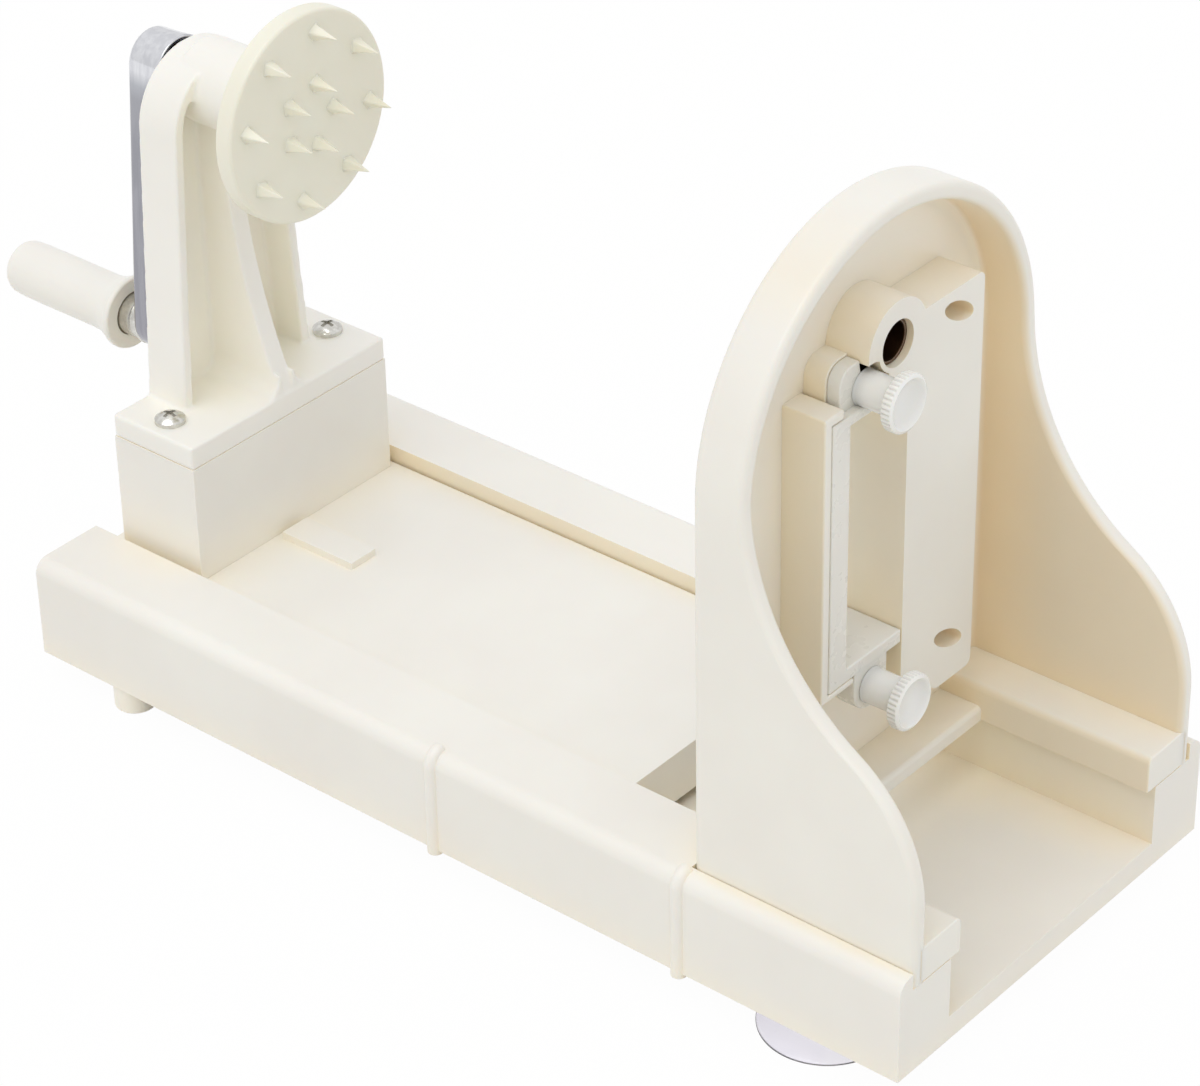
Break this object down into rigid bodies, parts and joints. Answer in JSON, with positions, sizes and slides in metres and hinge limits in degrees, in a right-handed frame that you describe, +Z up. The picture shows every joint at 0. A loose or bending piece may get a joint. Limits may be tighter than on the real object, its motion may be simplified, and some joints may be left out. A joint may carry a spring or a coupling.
{
  "type": "hand cranked turning slicer",
  "caption": "Hand cranked horizontal spiral slicer: a spiked disc on a sliding carriage turns food against a blade unit in an arched hood.",
  "frame": {"origin": "on the table under the middle of the machine's bounding box", "axes": "+X along the rails from the crank to the blade, +Y across the machine, +Z up"},
  "size_m": [0.4155, 0.1562, 0.2373],
  "materials": {
    "ivory_base": "satin gloss ivory moulding",
    "ivory_hood": "satin gloss ivory moulding",
    "ivory_carriage": "satin gloss ivory moulding",
    "ivory_disc": "satin ivory moulding",
    "ivory_grip": "satin ivory moulding",
    "holder_white": "cool white satin moulding",
    "knob_white": "white satin moulding",
    "clear_cup": "clear soft plastic",
    "screw_steel": "zinc plated",
    "screw_nickel": "bright nickel plated",
    "bush_steel": "sintered steel",
    "shaft_steel": "turned steel",
    "arm_chrome": "chromed pressed steel",
    "blade_steel": "ground stainless steel",
    "brass": "turned brass"
  },
  "bodies": {
    "base": {"base_frame": "ivory_base", "feet": "ivory_base", "foot_screws": "screw_steel", "suction_cups": "clear_cup", "hood": "ivory_hood", "hood_screws": "screw_steel", "core_ring": "blade_steel", "holder_inserts": "brass"},
    "carriage": {"carriage_plate": "ivory_carriage", "headstock_block": "ivory_carriage", "block_screws": "screw_steel", "headstock_post": "ivory_carriage", "post_screws": "screw_nickel", "rear_bush": "bush_steel", "front_bush": "bush_steel"},
    "crank": {"crank_shaft": "shaft_steel", "spiked_disc": "ivory_disc", "arm_spacer": "shaft_steel", "crank_arm": "arm_chrome", "arm_nut": "screw_nickel", "handle_pin": "shaft_steel", "handle_hub": "shaft_steel"},
    "grip": {"handle_grip": "ivory_grip"},
    "blade_unit": {"blade_holder": "holder_white", "main_blade": "blade_steel", "blade_screws": "screw_nickel"},
    "upper_knob": {"upper_knob": "knob_white", "upper_stud": "screw_steel"},
    "lower_knob": {"lower_knob": "knob_white", "lower_stud": "screw_steel"}
  },
  "joints": [
    {"name": "carriage_slide", "type": "slide", "parent": "base", "child": "carriage", "axis": [1, 0, 0], "range_m": [0, 0.18]},
    {"name": "crank_turn", "type": "hinge", "parent": "carriage", "child": "crank", "pos_m": [-0.11025, 0, 0.1928], "axis": [1, 0, 0], "continuous": true},
    {"name": "grip_spin", "type": "hinge", "parent": "crank", "child": "grip", "pos_m": [-0.19025, -0.00767, 0.09992], "axis": [1, 0, 0], "continuous": true},
    {"name": "holder_slide", "type": "slide", "parent": "base", "child": "blade_unit", "axis": [1, 0, 0], "range_m": [0, 0.003]},
    {"name": "upper_knob_turn", "type": "hinge", "parent": "blade_unit", "child": "upper_knob", "pos_m": [0.15175, -0.012, 0.1835], "axis": [1, 0, 0], "range_deg": [0, 720]},
    {"name": "lower_knob_turn", "type": "hinge", "parent": "blade_unit", "child": "lower_knob", "pos_m": [0.15475, -0.0092, 0.0832], "axis": [1, 0, 0], "range_deg": [0, 720]}
  ]
}
